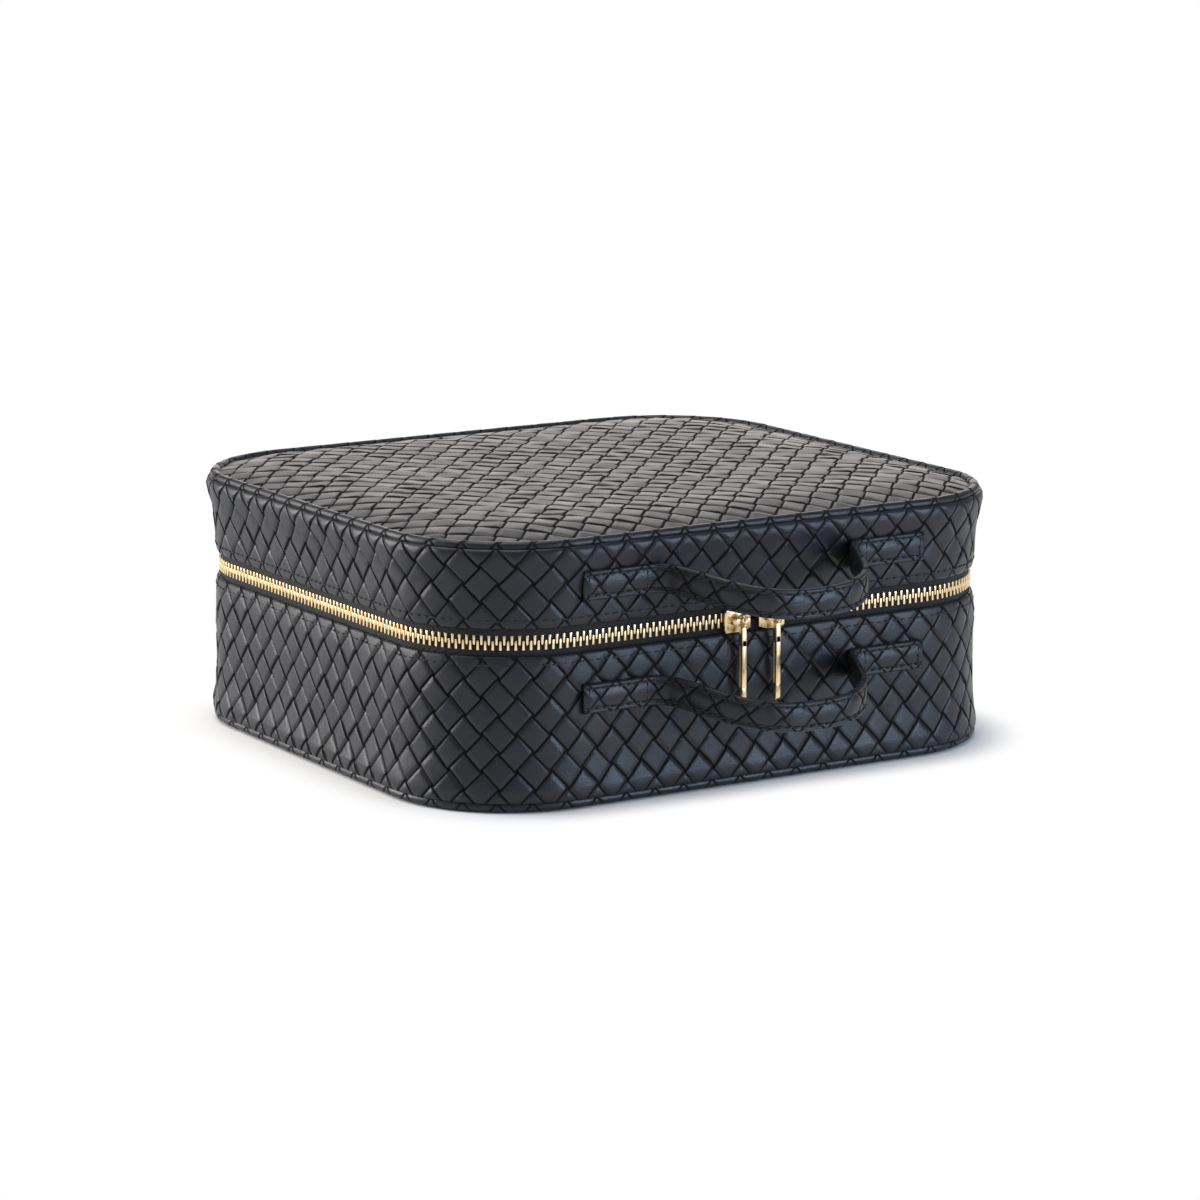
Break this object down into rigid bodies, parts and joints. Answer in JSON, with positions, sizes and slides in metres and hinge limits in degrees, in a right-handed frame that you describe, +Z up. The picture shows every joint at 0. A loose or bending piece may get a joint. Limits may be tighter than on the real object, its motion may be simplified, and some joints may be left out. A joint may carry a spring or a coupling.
{
  "type": "jewellery case",
  "caption": "Zip-round jewellery case in black plaited leather with a hinged lid, brass zip with sliders and pulls, strap handles, dividers, ring rolls and a lid mirror.",
  "frame": {"origin": "centre of the case's flat bottom, on the surface it stands on", "axes": "+Z up, +X to the right along the front seen from outside the front, -Y out of the front with the handles"},
  "size_m": [0.246, 0.263, 0.0958],
  "materials": {
    "plaited_leather": "semi-gloss black calf leather plaited in a diagonal basket weave",
    "plain_leather": "plain black leather",
    "board": "grey fibreboard stiffener",
    "lining": "charcoal velvet",
    "zip_tape": "black woven tape",
    "zip_brass": "polished light gold",
    "mirror": "silvered glass"
  },
  "bodies": {
    "base": {"base_bottom_cover": "plaited_leather", "base_piping": "plaited_leather", "base_wall_cover": "plaited_leather", "base_floor_board": "board", "base_wall_board": "board", "base_lining": "lining", "base_floor_pad": "lining", "base_zip_tape": "zip_tape", "base_zip_teeth_left": "zip_brass", "base_zip_teeth_right": "zip_brass", "base_handle": "plaited_leather", "hinge_panel": "plain_leather", "centre_divider": "lining", "ring_bay_dividers": "lining", "compartment_dividers": "lining", "ring_rolls": "lining"},
    "lid": {"lid_top_cover": "plaited_leather", "lid_piping": "plaited_leather", "lid_wall_cover": "plaited_leather", "lid_top_board": "board", "lid_wall_board": "board", "lid_lining": "lining", "lid_top_pad": "lining", "lid_zip_tape": "zip_tape", "lid_zip_teeth_left": "zip_brass", "lid_zip_teeth_right": "zip_brass", "lid_handle": "plaited_leather", "mirror": "mirror", "mirror_frame": "plain_leather"},
    "slider_left": {"slider_left": "zip_brass"},
    "slider_right": {"slider_right": "zip_brass"},
    "pull_left": {"pull_left": "zip_brass"},
    "pull_right": {"pull_right": "zip_brass"}
  },
  "joints": [
    {"name": "lid_hinge", "type": "hinge", "parent": "base", "child": "lid", "pos_m": [0, 0.108, 0.06], "axis": [-1, 0, 0], "range_deg": [0, 120], "deforming": ["hinge_panel"]},
    {"name": "slider_left_run", "type": "slide", "parent": "base", "child": "slider_left", "axis": [-1, 0, 0], "range_m": [0, 0.026], "deforming": ["base_zip_teeth_left", "lid_zip_teeth_left"]},
    {"name": "slider_right_run", "type": "slide", "parent": "base", "child": "slider_right", "axis": [1, 0, 0], "range_m": [0, 0.026], "deforming": ["base_zip_teeth_right", "lid_zip_teeth_right"]},
    {"name": "pull_left_swing", "type": "hinge", "parent": "slider_left", "child": "pull_left", "pos_m": [-0.00725, -0.1136, 0.06], "axis": [-1, 0, 0], "range_deg": [0, 95]},
    {"name": "pull_right_swing", "type": "hinge", "parent": "slider_right", "child": "pull_right", "pos_m": [0.00725, -0.1136, 0.06], "axis": [-1, 0, 0], "range_deg": [0, 95]}
  ]
}
